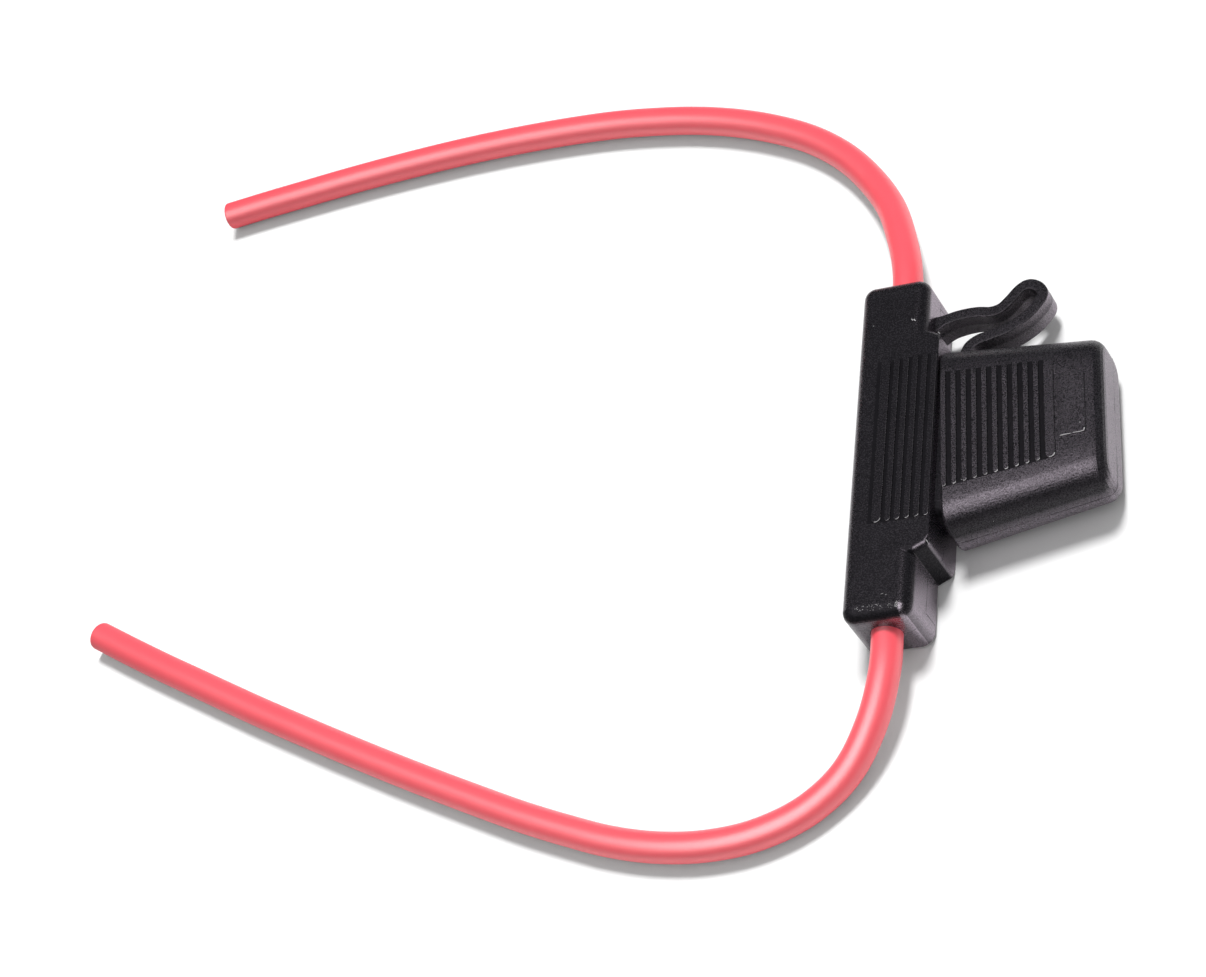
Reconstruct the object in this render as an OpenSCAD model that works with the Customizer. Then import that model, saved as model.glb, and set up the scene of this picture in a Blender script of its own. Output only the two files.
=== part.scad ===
// In-line holder for a large blade fuse: a moulded bar with a lead out of each end,
// a pull-off cap over the fuse, and a strap that keeps the cap with the bar.
// X points the way the cap pulls off, Y runs along the bar, Z is up.
// The bar lies on its flat underside at Z = 0.

/* [Bar] */
// Length of the bar, from one lead exit to the other
bar_l = 81.4; // [76:0.2:90]
// Width of the bar, across the leads
bar_w = 15.2; // [14.6:0.1:18]
// Thickness of the bar, from underside to top face
bar_t = 15.5; // [15.2:0.1:18]
// Rounding of the bar's top edges and end corners
bar_round = 2.9; // [1.5:0.1:3.2]
// Rounding of the bar's bottom edges
bar_foot = 0.8; // [0.4:0.1:1.2]

/* [Shoulder] */
// How far the shoulder stands out past each side of the cap's mouth
shoulder_past = 5; // [3.5:0.1:6.5]
// How far the shoulder stands out towards the cap
shoulder_d = 3.3; // [2.5:0.1:4]
// Rounding of the shoulder's ends
shoulder_round = 1.2; // [0.8:0.1:1.6]
// How far each end of the shoulder draws in towards the cap
shoulder_taper = 1.1; // [0.5:0.1:1.6]

/* [Neck and socket] */
// Length of the neck that the cap fits over
neck_l = 13.2; // [11:0.1:15]
// Width of the neck along the bar
neck_w = 35; // [34.4:0.1:36]
// Thickness of the neck
neck_t = 11.1; // [10.8:0.1:11.3]
// Corner rounding of the neck
neck_round = 3; // [2:0.1:4]
// Depth of the pocket around the fuse head
pocket_d = 6.4; // [5:0.1:8]
// Clearance of the pocket around the fuse head
pocket_gap = 0.3; // [0.2:0.05:0.35]

/* [Cap] */
// Length of the cap from its mouth to its outer end
cap_l = 34.3; // [34:0.1:40]
// Width of the cap at the mouth
cap_w = 43.6; // [42:0.1:46]
// Width of the cap at the outer end
cap_end_w = 34.4; // [34.2:0.1:40]
// Thickness of the cap at the outer end
cap_end_t = 13.8; // [12.6:0.1:15]
// Wall thickness of the cap
cap_wall = 1.4; // [1.2:0.05:1.5]
// Rounding of the cap's long edges
cap_round = 4.9; // [4:0.1:5.6]
// Rounding of the edge around the cap's outer end
cap_nose = 2.6; // [2:0.1:3]
// How far the cap sits askew on the neck, in degrees
cap_skew = 3.1; // [0:0.1:3.1]
// How far the cap sits off centre, towards the strap
cap_shift = 0.35; // [0:0.05:0.4]
// Gap between the cap's mouth and the shoulder where they are closest
cap_gap = 0.1; // [0.1:0.05:1]

/* [Grip ribs] */
// Height of the grip ribs
rib_h = 0.35; // [0.2:0.05:0.5]
// Number of ribs on the bar
bar_ribs = 6; // [3:1:6]
// Distance from rib to rib on the bar
bar_rib_pitch = 2.07; // [1.9:0.01:2.1]
// Width of a rib on the bar
bar_rib_w = 1.25; // [0.8:0.05:1.6]
// Width of the rib furthest from the cap
bar_rib_wide = 2; // [1.2:0.05:2.2]
// Length of the ribs on the bar
bar_rib_l = 39.4; // [30:0.2:44]
// Number of narrow ribs on the cap
cap_ribs = 10; // [6:1:10]
// Distance from rib to rib on the cap
cap_rib_pitch = 2.2; // [2:0.05:2.25]
// Width of a narrow rib on the cap
cap_rib_w = 1.05; // [0.7:0.05:1.4]
// Length of the cap's first rib, next to the mouth
cap_rib_l = 28.2; // [24:0.2:30]
// Length of the cap's last rib
cap_rib_end_l = 23.9; // [18:0.1:25]
// Width of the cap's last rib
cap_rib_wide = 2; // [1.4:0.1:2.4]
// Length of the plain raised pad near the cap's outer end
pad_l = 14.7; // [8:0.1:18]
// Width of the plain raised pad
pad_w = 5.5; // [3:0.1:5.6]

/* [Strap] */
// Thickness of the strap
strap_t = 2.4; // [1.6:0.1:2.6]
// Height of the strap
strap_h = 6.2; // [4.8:0.1:7.2]
// How far the strap's middle lies below the middle of the bar's thickness
strap_drop = 0.7; // [0:0.1:1]
// Extra thickness of the strap at its root on the bar
strap_root = 1.3; // [0:0.1:2]

/* [Fuse] */
// Width of the fuse head
fuse_w = 29.2; // [28:0.1:29.6]
// Thickness of the fuse head
fuse_t = 8.9; // [8.4:0.05:8.95]
// Length of the fuse head
fuse_head_l = 21.3; // [19:0.1:22]
// Length of the blades beyond the head
blade_l = 13; // [11:0.1:13.2]
// Width of a blade
blade_w = 8; // [7.4:0.1:8.2]
// Thickness of a blade
blade_t = 0.8; // [0.6:0.05:0.85]
// Distance between the centres of the blades
blade_pitch = 20.4; // [20:0.1:20.6]

/* [Terminals] */
// Sheet thickness of the terminals
sheet_t = 0.8; // [0.6:0.05:0.9]
// Length of the crimped barrel around the conductor
barrel_l = 8; // [6:0.1:9]
// Outer diameter of the crimped barrel
barrel_d = 5.6; // [5.2:0.1:6]

/* [Leads] */
// Diameter of the lead over its insulation
lead_d = 6.6; // [6:0.1:7]
// Diameter of the stranded conductor
conductor_d = 3.9; // [3.4:0.1:4.2]
// Clearance of the tunnels around the leads
tunnel_gap = 0.05; // [0.02:0.01:0.1]

/* [Hidden] */
eps = 0.01;

// The mid plane of every moulding, and the bar's side towards the cap
mid_z = bar_t / 2;
side_x = bar_w / 2;

// Shoulder and neck, from the bar's side outwards
shoulder_l = cap_w + 2 * shoulder_past;
shoulder_x = side_x + shoulder_d;
neck_x = shoulder_x + neck_l;
floor_x = neck_x - pocket_d;
shoulder_tip_l = shoulder_l - 2 * shoulder_taper;

// Cap, along its own axis from the mouth
cap_half = cap_w / 2;
cap_x = shoulder_x + cap_gap + cap_half * sin(cap_skew);
cap_slope_y = (cap_w - cap_end_w) / 2 / cap_l;
cap_slope_z = (bar_t - cap_end_t) / 2 / cap_l;
cap_lean = atan(cap_slope_z);
nose_steps = 5;
mouth_soft = 0.5;
cap_inner_round = 3;
black = [0.13, 0.13, 0.14];
rib_start = 0.8;
rib_field_y = 0.7;
bar_rib_y = 0.6;
bar_rib_edge = 0.2;
pad_x = 27.9;

// Fuse, from its seat outwards
seat_gap = 0.2;
head_x = floor_x + seat_gap;
tip_x = head_x - blade_l;
head_end_x = head_x + fuse_head_l;
head_round = 1.6;
foot_l = 9;
foot_t = fuse_t - 1.4;
shell_t = 1.4;
stem_w = blade_w - 2;
stem_y = blade_pitch / 2 - 1;
stem_l = 14;
link_r = stem_y - stem_w / 2;
link_w = 1.4;

// Terminals
slot_w = blade_w + 0.5;
slot_t = blade_t + 0.3;
box_w = slot_w + 2 * sheet_t;
box_t = slot_t + 2 * sheet_t;
box_base_x = tip_x - 1;
box_y = blade_pitch / 2;
mouth_drop = 0.4;
room = 0.2;
barrel_y = box_y + box_w / 2 + 1.3;
barrel_end_y = barrel_y + barrel_l;
web_x = barrel_d / 2 - 0.5;
plate_x = -1;
barrel_join = 0.8;
jacket_y = barrel_end_y + 2.5;

// Strap, as distances from the bar's side and from a line that keeps it clear of the cap
strap_clear = 4.65;
strap_y = cap_half + cap_shift + strap_clear;
strap_points = [
    [0, 4.6], [3.3, 5.6], [6.4, 6], [9.4, 5.9], [12.1, 5.4], [14.5, 5.9],
    [16.5, 7.7], [18.3, 9.7], [19.8, 10.6], [21.2, 10.5], [22.6, 9.6], [23.5, 8.2],
    [23.5, 6.8], [22.6, 5.3], [21, 3.5], [19, 2], [17, 0.9], [14.9, 0.1],
    [12, -0.6], [9.8, -1.1], [8, -2.2], [7.2, -3.8]
];
strap_end_gap = 0.12;
strap_end_u = 7.1 + side_x - cap_x;
strap_end_y = cap_half + cap_shift - cap_slope_y * strap_end_u
    + strap_end_u * sin(cap_skew) + strap_end_gap;
strap_steps = 3;

// Lead routes: sideways distance, distance beyond the bar's end, and height
// as a share of the exit's height above a lead that lies on the ground
inside_l = bar_l / 2 - jacket_y;
upper_route = [
    [0, -inside_l, 1], [0, -3, 1], [-0.5, 8, 1], [-3.2, 18.6, 0.65], [-7, 28.7, 0.19],
    [-12.6, 38, 0], [-19.6, 46.2, 0], [-28.1, 53, 0], [-37.5, 58.2, 0],
    [-47.5, 62.4, 0], [-57.8, 65.6, 0], [-68.4, 67.9, 0], [-79.1, 69.6, 0],
    [-89.9, 70.6, 0], [-100.7, 71.2, 0], [-111.5, 71.5, 0], [-122.3, 71.5, 0],
    [-133.1, 71.2, 0], [-143.9, 70.7, 0], [-154.7, 70, 0], [-165.5, 69.1, 0],
    [-176.3, 68.2, 0], [-187, 67.1, 0]
];
lower_route = [
    [0, -inside_l, 1], [0, -3, 1], [0, 8, 1], [-2.8, 18.9, 0.64], [-8.5, 28.4, 0.17],
    [-17.1, 35.4, 0], [-27.5, 39.4, 0], [-38.5, 40.6, 0], [-49.6, 39.7, 0],
    [-60.4, 37.2, 0], [-70.9, 33.5, 0], [-81.3, 29.4, 0], [-91.5, 24.9, 0],
    [-101.6, 20.3, 0], [-111.7, 15.6, 0], [-121.7, 10.8, 0], [-131.7, 5.9, 0],
    [-141.7, 0.9, 0], [-151.6, -4.1, 0], [-161.5, -9.3, 0], [-171.3, -14.5, 0],
    [-181.1, -19.7, 0], [-190.9, -25.1, 0], [-200.6, -30.6, 0]
];
lead_sides = 12;
lead_steps = 2;

// A smooth curve through a list of points, and its direction
function near(p, i) = p[max(0, min(len(p) - 1, i))];
function curve(p, i, t) =
    0.5 * (2 * near(p, i)
        + (near(p, i + 1) - near(p, i - 1)) * t
        + (2 * near(p, i - 1) - 5 * near(p, i) + 4 * near(p, i + 1) - near(p, i + 2)) * t * t
        + (3 * near(p, i) - near(p, i - 1) - 3 * near(p, i + 1) + near(p, i + 2)) * t * t * t);
function smooth(p, n) = concat(
    [for (i = [0 : len(p) - 2]) for (k = [0 : n - 1]) curve(p, i, k / n)],
    [p[len(p) - 1]]
);
function unit(v) = v / norm(v);
function heading(p, i) = unit(near(p, i + 1) - near(p, i - 1));

// A lead's route in the part's own frame; side is 1 for the upper end and -1 for the lower
function lead_line(route, side) = [
    for (q = smooth(route, lead_steps))
        [q[0], side * (bar_l / 2 + q[1]), lead_d / 2 + max(0, q[2]) * (mid_z - lead_d / 2)]
];
function ring(c, d) =
    let (s = unit(cross(d, [0, 0, 1])), u = cross(s, d))
    [for (k = [0 : lead_sides - 1])
        c + lead_d / 2 * (cos(360 * k / lead_sides) * u + sin(360 * k / lead_sides) * s)];

// A tube of one diameter along a line
module lead_tube(line) {
    m = len(line);
    n = lead_sides;
    polyhedron(
        points = [for (i = [0 : m - 1]) each ring(line[i], heading(line, i))],
        faces = concat(
            [[for (k = [0 : n - 1]) k]],
            [for (i = [0 : m - 2]) for (k = [0 : n - 1])
                [i * n + k, (i + 1) * n + k, (i + 1) * n + (k + 1) % n, i * n + (k + 1) % n]],
            [[for (k = [n - 1 : -1 : 0]) (m - 1) * n + k]]
        ),
        convexity = 6
    );
}

// A block centred on Y and Z, from x0 to x1
module block(x0, x1, w, t) {
    translate([x0, -w / 2, mid_z - t / 2])
        cube([x1 - x0, w, t]);
}

// The same with its four long edges rounded
module round_block(x0, x1, w, t, r) {
    block(x0, x1, w - 2 * r, t);
    block(x0, x1, w, t - 2 * r);
    for (y = [-1, 1], z = [-1, 1])
        translate([x0, y * (w / 2 - r), mid_z + z * (t / 2 - r)])
            rotate([0, 90, 0])
                cylinder(h = x1 - x0, r = r, $fn = 48);
}

// The bar with its rounded top edges and end corners
module bar() {
    hull()
        for (x = [-1, 1], y = [-1, 1])
            translate([x * (side_x - bar_round), y * (bar_l / 2 - bar_round), 0]) {
                translate([0, 0, bar_t - bar_round])
                    sphere(r = bar_round, $fn = 40);
                translate([0, 0, bar_foot])
                    cylinder(h = bar_t - bar_round - bar_foot, r = bar_round, $fn = 40);
                cylinder(h = bar_foot, r = bar_round - bar_foot, $fn = 40);
            }
}

// The shoulder: it leaves the bar at full length, draws in towards the cap and has
// rounded outer corners
module shoulder() {
    hull() {
        for (y = [-1, 1]) {
            translate([side_x - bar_round, y * (shoulder_l / 2 - shoulder_round), bar_t - shoulder_round])
                rotate([0, 90, 0])
                    cylinder(h = bar_round + eps, r = shoulder_round, $fn = 32);
            translate([side_x - bar_round, y * (shoulder_l / 2 - bar_foot), bar_foot])
                rotate([0, 90, 0])
                    cylinder(h = bar_round + eps, r = bar_foot, $fn = 32);
            translate([shoulder_x - shoulder_round, y * (shoulder_tip_l / 2 - shoulder_round), 0]) {
                translate([0, 0, bar_t - shoulder_round])
                    sphere(r = shoulder_round, $fn = 32);
                translate([0, 0, bar_foot])
                    cylinder(h = bar_t - shoulder_round - bar_foot, r = shoulder_round, $fn = 32);
                cylinder(h = bar_foot, r = shoulder_round - bar_foot / 2, $fn = 32);
            }
        }
        block(shoulder_x - eps, shoulder_x, shoulder_tip_l - 4 * shoulder_round, bar_t);
    }
}

// One grip rib with round ends, lying along Y
module rib(w, l, h) {
    translate([-w / 2, -l / 2 + w / 2, 0])
        cube([w, l - w, h]);
    for (y = [-1, 1])
        translate([0, y * (l / 2 - w / 2), 0])
            cylinder(h = h, r = w / 2, $fn = 24);
}

// The ribs on the bar's top face, counted from the shoulder's edge
module bar_rib_field() {
    first_x = shoulder_x - bar_rib_edge - bar_rib_w / 2;
    translate([0, bar_rib_y, bar_t - rib_h]) {
        for (i = [0 : bar_ribs - 2])
            translate([first_x - i * bar_rib_pitch, 0, 0])
                rib(bar_rib_w, bar_rib_l, 2 * rib_h);
        translate([first_x - (bar_ribs - 1) * bar_rib_pitch - (bar_rib_wide - bar_rib_w) / 2, 0, 0])
            rib(bar_rib_wide, bar_rib_l, 2 * rib_h);
    }
}

// The chamber for one terminal and the tunnel for its lead
module chamber(side) {
    chamber_w = box_w + 2 * room;
    chamber_t = box_t + 2 * room;
    mirror([0, side < 0 ? 1 : 0, 0]) {
        translate([plate_x - room, box_y - chamber_w / 2, mid_z - chamber_t / 2])
            cube([floor_x - plate_x + room + eps, chamber_w, chamber_t]);
        translate([plate_x - room, box_y, mid_z - chamber_t / 2])
            cube([box_base_x - plate_x + 2 * room, barrel_y + barrel_join + room - box_y, chamber_t]);
        translate([0, barrel_y - barrel_join, mid_z])
            rotate([-90, 0, 0])
                cylinder(h = bar_l / 2 - barrel_y + barrel_join + 1, r = lead_d / 2 + tunnel_gap,
                    $fn = 64);
    }
}

module holder_body() {
    color(black)
        difference() {
            union() {
                bar();
                shoulder();
                round_block(shoulder_x - eps, neck_x, neck_w, neck_t, neck_round);
                bar_rib_field();
            }
            round_block(floor_x, neck_x + 1, fuse_w + 2 * pocket_gap, fuse_t + 2 * pocket_gap,
                head_round + pocket_gap);
            chamber(1);
            chamber(-1);
        }
}

// One cross-section of the cap at distance u from the mouth, drawn in by d all round
module cap_section(u, d, r) {
    w = cap_half - cap_slope_y * u - d;
    t = mid_z - cap_slope_z * u - d;
    for (y = [-1, 1], z = [-1, 1])
        translate([u, y * (w - r), mid_z + z * (t - r)])
            rotate([0, 90, 0])
                cylinder(h = eps, r = r, $fn = 48);
}

// The cap's outer shape, with a soft mouth edge and a rounded outer end
module cap_outside() {
    hull() {
        cap_section(0, mouth_soft * 0.6, cap_round);
        cap_section(mouth_soft, 0, cap_round);
        for (a = [0 : 90 / nose_steps : 90])
            cap_section(cap_l - cap_nose + (cap_nose - eps) * sin(a), cap_nose * (1 - cos(a)),
                cap_round - cap_nose * (1 - cos(a)));
    }
}

// The cap's hollow, open at the mouth
module cap_inside() {
    inner_nose = cap_nose - cap_wall;
    hull() {
        cap_section(-1, cap_wall, cap_inner_round);
        for (a = [0 : 30 : 90])
            cap_section(cap_l - cap_nose + inner_nose * sin(a), cap_wall + inner_nose * (1 - cos(a)),
                cap_inner_round - inner_nose * (1 - cos(a)));
    }
}

// Moves a rib onto the cap's leaning top face, u from the mouth and y off its middle
module on_cap(u, y) {
    translate([u, y, bar_t - cap_slope_z * u])
        rotate([0, cap_lean, 0])
            translate([0, 0, -rib_h])
                children();
}

// The ribs and the plain pad on the cap's top face
module cap_rib_field() {
    for (i = [0 : cap_ribs - 1])
        on_cap(rib_start + i * cap_rib_pitch, rib_field_y)
            rib(cap_rib_w, cap_rib_l - (cap_rib_l - cap_rib_end_l) * i / cap_ribs, 2 * rib_h);
    on_cap(rib_start + cap_ribs * cap_rib_pitch + (cap_rib_wide - cap_rib_w) / 2, rib_field_y)
        rib(cap_rib_wide, cap_rib_end_l, 2 * rib_h);
    on_cap(pad_x - pad_w / 2, rib_field_y - pad_l / 2)
        cube([pad_w, pad_l, 2 * rib_h]);
}

module cap() {
    color(black)
        translate([cap_x, cap_shift, 0])
            rotate([0, 0, cap_skew]) {
                difference() {
                    cap_outside();
                    cap_inside();
                }
                cap_rib_field();
            }
}

// The strap's middle line, from its root on the bar to the cap's side
function strap_line() = smooth(
    concat(
        [for (q = strap_points) [side_x + q[0], strap_y + q[1]]],
        [[side_x + 7.1, strap_end_y]]
    ),
    strap_steps
);
function strap_half(q) = strap_t / 2 + strap_root / 2 * pow(max(0, 1 - (q[0] - side_x) / 3), 2);
function strap_edge(p, side) = [
    for (i = [0 : len(p) - 1])
        let (
            h = i == 0 ? [1, 0] : i == len(p) - 1 ? [0, -1] : heading(p, i),
            k = p[i][1] < strap_y ? strap_t / 2 : strap_half(p[i])
        )
        p[i] + side * k * [-h[1], h[0]]
];

module tether_strap() {
    line = strap_line();
    left = strap_edge(line, 1);
    right = strap_edge(line, -1);
    color(black)
        translate([0, 0, mid_z - strap_drop - strap_h / 2])
            linear_extrude(height = strap_h)
                polygon(concat(left, [for (i = [len(right) - 1 : -1 : 0]) right[i]]));
}

module fuse_housing() {
    color([0.16, 0.35, 0.75])
        difference() {
            union() {
                round_block(head_x, head_x + foot_l + eps, fuse_w - 0.6, foot_t, head_round);
                round_block(head_x + foot_l, head_end_x, fuse_w, fuse_t, head_round);
            }
            block(head_x + shell_t, head_end_x - shell_t, fuse_w - 2 * shell_t, foot_t - 2 * shell_t);
            for (y = [-1, 1]) {
                translate([0, y * stem_y, 0])
                    block(head_x - 1, head_x + shell_t + eps, stem_w + 0.2, blade_t + 0.2);
                translate([0, y * stem_y, 0])
                    block(head_end_x - shell_t - eps, head_end_x + 1, 3, 2);
            }
        }
}

module fuse_element() {
    color([0.75, 0.75, 0.77]) {
        for (y = [-1, 1]) {
            translate([0, y * blade_pitch / 2, 0])
                block(tip_x, head_x, blade_w, blade_t);
            translate([0, y * stem_y, 0])
                block(head_x - eps, head_x + stem_l, stem_w, blade_t);
        }
        translate([head_x + stem_l - link_w, 0, mid_z - blade_t / 2])
            difference() {
                cylinder(h = blade_t, r = link_r + eps, $fn = 48);
                translate([0, 0, -1])
                    cylinder(h = blade_t + 2, r = link_r - link_w, $fn = 48);
                translate([0, -link_r - 1, -1])
                    cube([link_r + 1, 2 * link_r + 2, blade_t + 2]);
            }
        for (y = [-1, 1])
            translate([head_x + stem_l - link_w - eps, y * (link_r - link_w / 2) - link_w / 2,
                    mid_z - blade_t / 2])
                cube([link_w + eps, link_w, blade_t]);
    }
}

// A folded receptacle for one blade, a flat plate beside it, and the barrel crimped
// on the conductor
module terminal(side) {
    plate_z = mid_z - box_t / 2;
    plate_y = box_y - box_w / 2;
    color([0.83, 0.72, 0.42])
        mirror([0, side < 0 ? 1 : 0, 0]) {
            difference() {
                translate([0, box_y, 0])
                    block(box_base_x, floor_x - mouth_drop, box_w, box_t);
                translate([0, box_y, 0])
                    block(box_base_x - 1, floor_x, slot_w, slot_t);
            }
            translate([plate_x, plate_y, plate_z])
                cube([box_base_x - plate_x + eps, barrel_y - barrel_join - plate_y, sheet_t]);
            translate([web_x, plate_y, plate_z])
                cube([box_base_x - web_x, barrel_y + barrel_join - plate_y, sheet_t]);
            difference() {
                translate([0, barrel_y, mid_z])
                    rotate([-90, 0, 0])
                        cylinder(h = barrel_l, r = barrel_d / 2, $fn = 48);
                translate([0, barrel_y - 1, mid_z])
                    rotate([-90, 0, 0])
                        cylinder(h = barrel_l + 2, r = conductor_d / 2 + 0.03, $fn = 48);
            }
        }
}

module upper_terminal() {
    terminal(1);
}

module lower_terminal() {
    terminal(-1);
}

// The bared end of the stranded conductor, from the barrel to the insulation
module conductor(side) {
    color([0.80, 0.45, 0.28])
        mirror([0, side < 0 ? 1 : 0, 0])
            translate([0, barrel_y - 0.3, mid_z])
                rotate([-90, 0, 0])
                    cylinder(h = jacket_y - barrel_y + 0.3, r = conductor_d / 2, $fn = 48);
}

module upper_conductor() {
    conductor(1);
}

module lower_conductor() {
    conductor(-1);
}

module upper_lead() {
    color([0.93, 0.12, 0.16])
        lead_tube(lead_line(upper_route, 1));
}

module lower_lead() {
    color([0.93, 0.12, 0.16])
        mirror([0, 1, 0])
            lead_tube(lead_line(lower_route, 1));
}

holder_body();
cap();
tether_strap();
fuse_housing();
fuse_element();
upper_terminal();
lower_terminal();
upper_conductor();
lower_conductor();
upper_lead();
lower_lead();
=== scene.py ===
import math
import random

import bpy
import numpy as np
from mathutils import Matrix, Vector


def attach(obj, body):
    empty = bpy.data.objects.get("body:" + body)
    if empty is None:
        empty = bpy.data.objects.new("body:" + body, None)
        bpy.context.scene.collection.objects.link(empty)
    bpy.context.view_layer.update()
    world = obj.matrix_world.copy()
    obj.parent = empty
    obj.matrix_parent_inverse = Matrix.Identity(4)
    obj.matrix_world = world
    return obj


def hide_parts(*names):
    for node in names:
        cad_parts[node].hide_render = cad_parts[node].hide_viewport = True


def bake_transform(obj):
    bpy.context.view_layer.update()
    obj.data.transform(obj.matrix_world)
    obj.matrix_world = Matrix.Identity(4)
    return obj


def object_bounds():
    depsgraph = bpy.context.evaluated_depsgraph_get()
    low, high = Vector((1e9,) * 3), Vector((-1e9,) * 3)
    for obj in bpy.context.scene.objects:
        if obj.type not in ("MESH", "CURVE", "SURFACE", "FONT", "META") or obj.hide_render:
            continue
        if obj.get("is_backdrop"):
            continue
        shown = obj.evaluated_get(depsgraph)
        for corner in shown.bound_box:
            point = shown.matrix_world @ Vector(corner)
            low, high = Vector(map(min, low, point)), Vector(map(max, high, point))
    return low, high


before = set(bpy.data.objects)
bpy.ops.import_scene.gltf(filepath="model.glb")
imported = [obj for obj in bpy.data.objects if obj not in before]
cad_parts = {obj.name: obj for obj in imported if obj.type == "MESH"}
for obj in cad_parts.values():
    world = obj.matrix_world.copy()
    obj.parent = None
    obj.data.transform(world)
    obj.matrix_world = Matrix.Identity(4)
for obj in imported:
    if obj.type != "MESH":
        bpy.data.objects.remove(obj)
size_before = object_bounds()
random.seed(7)
MM = 0.001

# Sizes shared with the CAD, in millimetres
BAR_L, BAR_W, BAR_T = 81.4, 15.2, 15.5
SIDE_X = BAR_W / 2
MID_Z = BAR_T / 2
SHOULDER_X = SIDE_X + 3.3
SHOULDER_L = 53.6
LEAD_D = 6.6
CONDUCTOR_D = 3.9
CAP_L, CAP_W, CAP_END_W = 34.3, 43.6, 34.4
CAP_NOSE, CAP_SKEW, CAP_SHIFT = 2.6, 3.1, 0.35
CAP_X = SHOULDER_X + 0.1 + CAP_W / 2 * math.sin(math.radians(CAP_SKEW))
CAP_SLOPE_Y = (CAP_W - CAP_END_W) / 2 / CAP_L
CAP_SLOPE_Z = 0.85 / CAP_L
SEAM_Z = 6.5

# The camera, placed from the photograph
PHOTO_W, PHOTO_H = 1206, 977
camera_data = bpy.data.cameras.new("camera")
camera_data.sensor_fit = "HORIZONTAL"
camera_data.sensor_width = 36
camera_data.lens = 94.4025
camera_data.clip_start = 0.05
camera_data.clip_end = 20
camera = bpy.data.objects.new("camera", camera_data)
bpy.context.scene.collection.objects.link(camera)
camera.matrix_world = Matrix((
    (0.89484, 0.14556, 0.42198, 0.22148),
    (0.10053, 0.85533, -0.50824, -0.34461),
    (-0.43491, 0.49721, 0.75075, 0.52454),
    (0, 0, 0, 1),
))
bpy.context.scene.camera = camera


def link(obj):
    bpy.context.scene.collection.objects.link(obj)
    return obj


def mesh_object(name, verts, faces, smooth=True):
    """A mesh object from points in millimetres."""
    mesh = bpy.data.meshes.new(name)
    mesh.from_pydata([tuple(c * MM for c in v) for v in verts], [], faces)
    mesh.validate()
    mesh.update()
    for polygon in mesh.polygons:
        polygon.use_smooth = smooth
    return link(bpy.data.objects.new(name, mesh))


# The leads: distance sideways, distance beyond the bar's end, and height as a share
# of the exit's height above a lead that lies on the ground, all as in the CAD
INSIDE_L = BAR_L / 2 - 27.05
UPPER_ROUTE = [
    (0, -INSIDE_L, 1), (0, -3, 1), (-0.5, 8, 1), (-3.2, 18.6, 0.65), (-7, 28.7, 0.19),
    (-12.6, 38, 0), (-19.6, 46.2, 0), (-28.1, 53, 0), (-37.5, 58.2, 0),
    (-47.5, 62.4, 0), (-57.8, 65.6, 0), (-68.4, 67.9, 0), (-79.1, 69.6, 0),
    (-89.9, 70.6, 0), (-100.7, 71.2, 0), (-111.5, 71.5, 0), (-122.3, 71.5, 0),
    (-133.1, 71.2, 0), (-143.9, 70.7, 0), (-154.7, 70, 0), (-165.5, 69.1, 0),
    (-176.3, 68.2, 0), (-187, 67.1, 0),
]
LOWER_ROUTE = [
    (0, -INSIDE_L, 1), (0, -3, 1), (0, 8, 1), (-2.8, 18.9, 0.64), (-8.5, 28.4, 0.17),
    (-17.1, 35.4, 0), (-27.5, 39.4, 0), (-38.5, 40.6, 0), (-49.6, 39.7, 0),
    (-60.4, 37.2, 0), (-70.9, 33.5, 0), (-81.3, 29.4, 0), (-91.5, 24.9, 0),
    (-101.6, 20.3, 0), (-111.7, 15.6, 0), (-121.7, 10.8, 0), (-131.7, 5.9, 0),
    (-141.7, 0.9, 0), (-151.6, -4.1, 0), (-161.5, -9.3, 0), (-171.3, -14.5, 0),
    (-181.1, -19.7, 0), (-190.9, -25.1, 0), (-200.6, -30.6, 0),
]


def smooth_line(points, steps):
    """The CAD's smooth curve through its control points."""
    p = np.array(points, float)
    out = []
    for i in range(len(p) - 1):
        a, b, c, d = (p[max(0, min(len(p) - 1, i + k))] for k in (-1, 0, 1, 2))
        for k in range(steps):
            t = k / steps
            out.append(0.5 * (2 * b + (c - a) * t + (2 * a - 5 * b + 4 * c - d) * t * t
                              + (3 * b - a - 3 * c + d) * t ** 3))
    out.append(p[-1])
    return np.array(out)


def lead_line(route, side):
    low = LEAD_D / 2
    q = smooth_line(route, 12)
    return np.column_stack([q[:, 0], side * (BAR_L / 2 + q[:, 1]),
                            low + np.maximum(q[:, 2], 0) * (MID_Z - low)])


def frames_along(line):
    """Heading, sideways and upward directions at each point of a line."""
    headings = np.gradient(line, axis=0)
    headings /= np.linalg.norm(headings, axis=1)[:, None]
    across = np.cross(headings, (0, 0, 1))
    across /= np.linalg.norm(across, axis=1)[:, None]
    return headings, across, np.cross(across, headings)


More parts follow.
